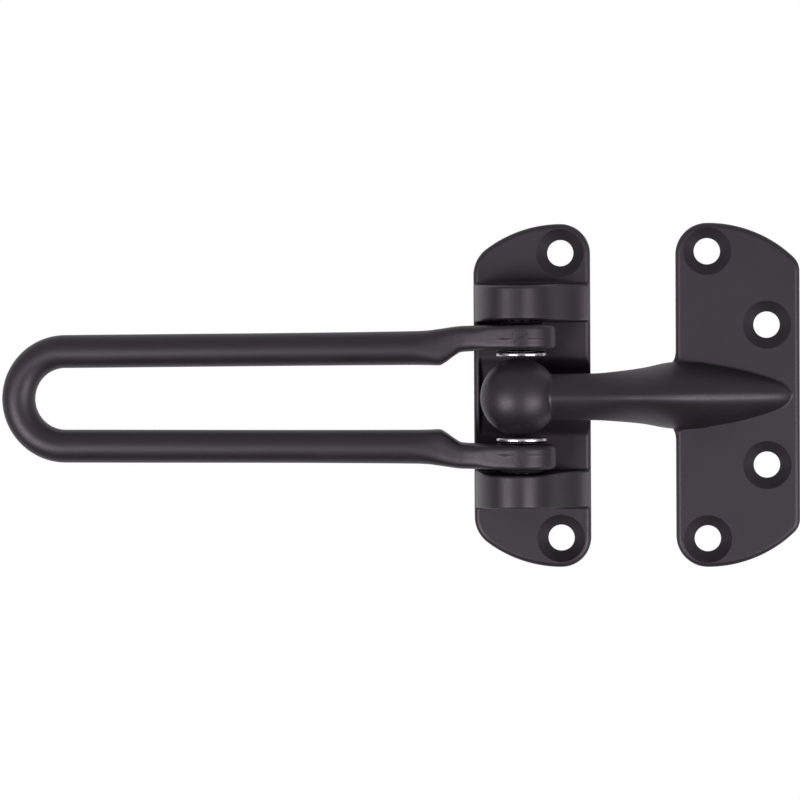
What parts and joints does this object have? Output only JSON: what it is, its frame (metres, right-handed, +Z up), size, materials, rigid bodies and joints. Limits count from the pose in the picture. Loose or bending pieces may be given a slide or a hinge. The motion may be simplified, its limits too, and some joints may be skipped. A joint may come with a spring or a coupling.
{
  "type": "door chain guard",
  "caption": "Swing-bar door guard: a U-shaped bar hinged on a frame plate swings over the ball of a horned door plate.",
  "frame": {"origin": "on the frame plate's back face, straight behind the pivot axis, midway between the two eyes", "axes": "+X from the bar's loop to the door plate, +Z up along the pivot axis, the back faces +Y and the front -Y"},
  "size_m": [0.1468, 0.0174, 0.0634],
  "materials": {
    "black_coat": "satin black coating on cast and forged metal",
    "bright_zinc": "bright zinc-plated steel"
  },
  "bodies": {
    "frame": {"frame_plate": "black_coat", "upper_pivot_pin": "bright_zinc", "lower_pivot_pin": "bright_zinc", "upper_wave_washer": "black_coat", "lower_wave_washer": "black_coat", "upper_thrust_washer": "black_coat", "lower_thrust_washer": "black_coat"},
    "bar": {"swing_bar": "black_coat", "upper_tension_screw": "black_coat", "lower_tension_screw": "black_coat"},
    "door": {"door_plate": "black_coat"}
  },
  "joints": [
    {"name": "bar_swing", "type": "hinge", "parent": "frame", "child": "bar", "pos_m": [0, -0.01, 0], "axis": [0, 0, 1], "range_deg": [0, 180]},
    {"name": "door_opening", "type": "slide", "parent": "frame", "child": "door", "axis": [0, -1, 0], "range_m": [0, 0.08]}
  ]
}
